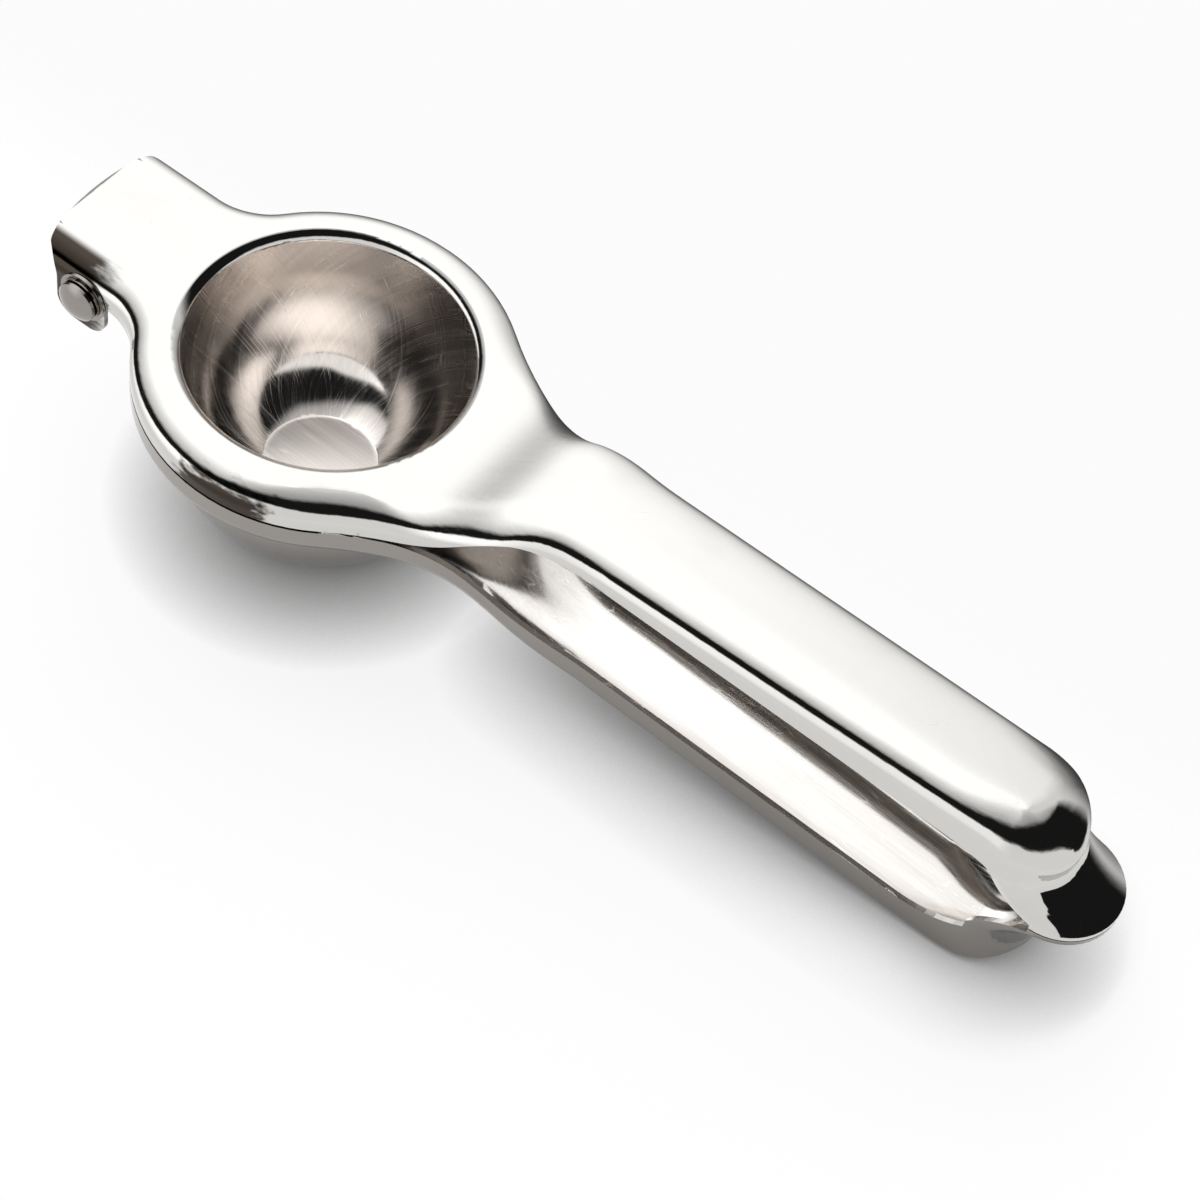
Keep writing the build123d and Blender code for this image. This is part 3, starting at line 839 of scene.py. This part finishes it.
# Burnished rims round the strainer's holes, where the punch left a fine burr
holeRims = {
    "rings": {"inner": (6.2, 6), "outer": (11.6, 12)},    # millimetres from the middle, holes
    "hole": 1.6,
    "bead": 0.11,
    "level": 1.0,                                         # upper face of the bowl's flat bottom
    "roundSteps": 32,                                     # points round a hole
    "beadSteps": 8,                                       # points round the bead's own section
}


def holeRimTree():
    tree = bpy.data.node_groups.new("holeRims", "GeometryNodeTree")
    sockets = tree.interface
    sockets.new_socket(name="Geometry", in_out="INPUT", socket_type="NodeSocketGeometry")
    sockets.new_socket(name="Holes", in_out="INPUT", socket_type="NodeSocketInt")
    for name in ("Ring Radius", "Hole Radius", "Bead", "Level"):
        sockets.new_socket(name=name, in_out="INPUT", socket_type="NodeSocketFloat")
    sockets.new_socket(name="Finish", in_out="INPUT", socket_type="NodeSocketMaterial")
    sockets.new_socket(name="Geometry", in_out="OUTPUT", socket_type="NodeSocketGeometry")
    given = addNode(tree, "NodeGroupInput").outputs
    ring = addNode(tree, "GeometryNodeMeshCircle")
    feed(tree, ring.inputs["Vertices"], given["Holes"])
    feed(tree, ring.inputs["Radius"], given["Ring Radius"])
    line = addNode(tree, "GeometryNodeCurvePrimitiveCircle")
    line.inputs["Resolution"].default_value = holeRims["roundSteps"]
    feed(tree, line.inputs["Radius"], maths(tree, "ADD", given["Hole Radius"], given["Bead"]))
    section = addNode(tree, "GeometryNodeCurvePrimitiveCircle")
    section.inputs["Resolution"].default_value = holeRims["beadSteps"]
    feed(tree, section.inputs["Radius"], given["Bead"])
    bead = addNode(tree, "GeometryNodeCurveToMesh")
    feed(tree, bead.inputs["Curve"], line.outputs["Curve"])
    feed(tree, bead.inputs["Profile Curve"], section.outputs["Curve"])
    spread = addNode(tree, "GeometryNodeInstanceOnPoints")
    feed(tree, spread.inputs["Points"], ring.outputs["Mesh"])
    feed(tree, spread.inputs["Instance"], bead.outputs["Mesh"])
    height = addNode(tree, "ShaderNodeCombineXYZ")
    feed(tree, height.inputs[2], given["Level"])
    raised = addNode(tree, "GeometryNodeTransform")
    feed(tree, raised.inputs["Geometry"], spread.outputs["Instances"])
    feed(tree, raised.inputs["Translation"], height.outputs[0])
    real = addNode(tree, "GeometryNodeRealizeInstances")
    feed(tree, real.inputs["Geometry"], raised.outputs["Geometry"])
    painted = addNode(tree, "GeometryNodeSetMaterial")
    feed(tree, painted.inputs["Geometry"], real.outputs["Geometry"])
    feed(tree, painted.inputs["Material"], given["Finish"])
    feed(tree, addNode(tree, "NodeGroupOutput").inputs["Geometry"], painted.outputs["Geometry"])
    return tree


rimTree = holeRimTree()
for ringName, (radius, count) in holeRims["rings"].items():
    base = bpy.data.objects.new("base", bpy.data.meshes.new("base"))
    bpy.context.scene.collection.objects.link(base)
    maker = base.modifiers.new("holeRims", "NODES")
    maker.node_group = rimTree
    sizes = {"Holes": count, "Ring Radius": radius / 1000, "Hole Radius": holeRims["hole"] / 1000,
             "Bead": holeRims["bead"] / 1000, "Level": holeRims["level"] / 1000, "Finish": edgeSteel}
    for item in rimTree.interface.items_tree:
        if item.in_out == "INPUT" and item.name in sizes:
            maker[item.identifier] = sizes[item.name]
    rims = meshOf(base)
    shell = bmesh.new()
    shell.from_mesh(rims)
    bmesh.ops.recalc_face_normals(shell, faces=shell.faces)
    for face in shell.faces:
        face.smooth = True
    shell.to_mesh(rims)
    shell.free()
    piece = bpy.data.objects.new(ringName + "HoleRims", rims)
    bpy.context.scene.collection.objects.link(piece)
    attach(piece, "strainer")
    print(ringName, "hole rims:", len(rims.polygons), "faces")

bpy.context.scene.view_settings.view_transform = "Standard"
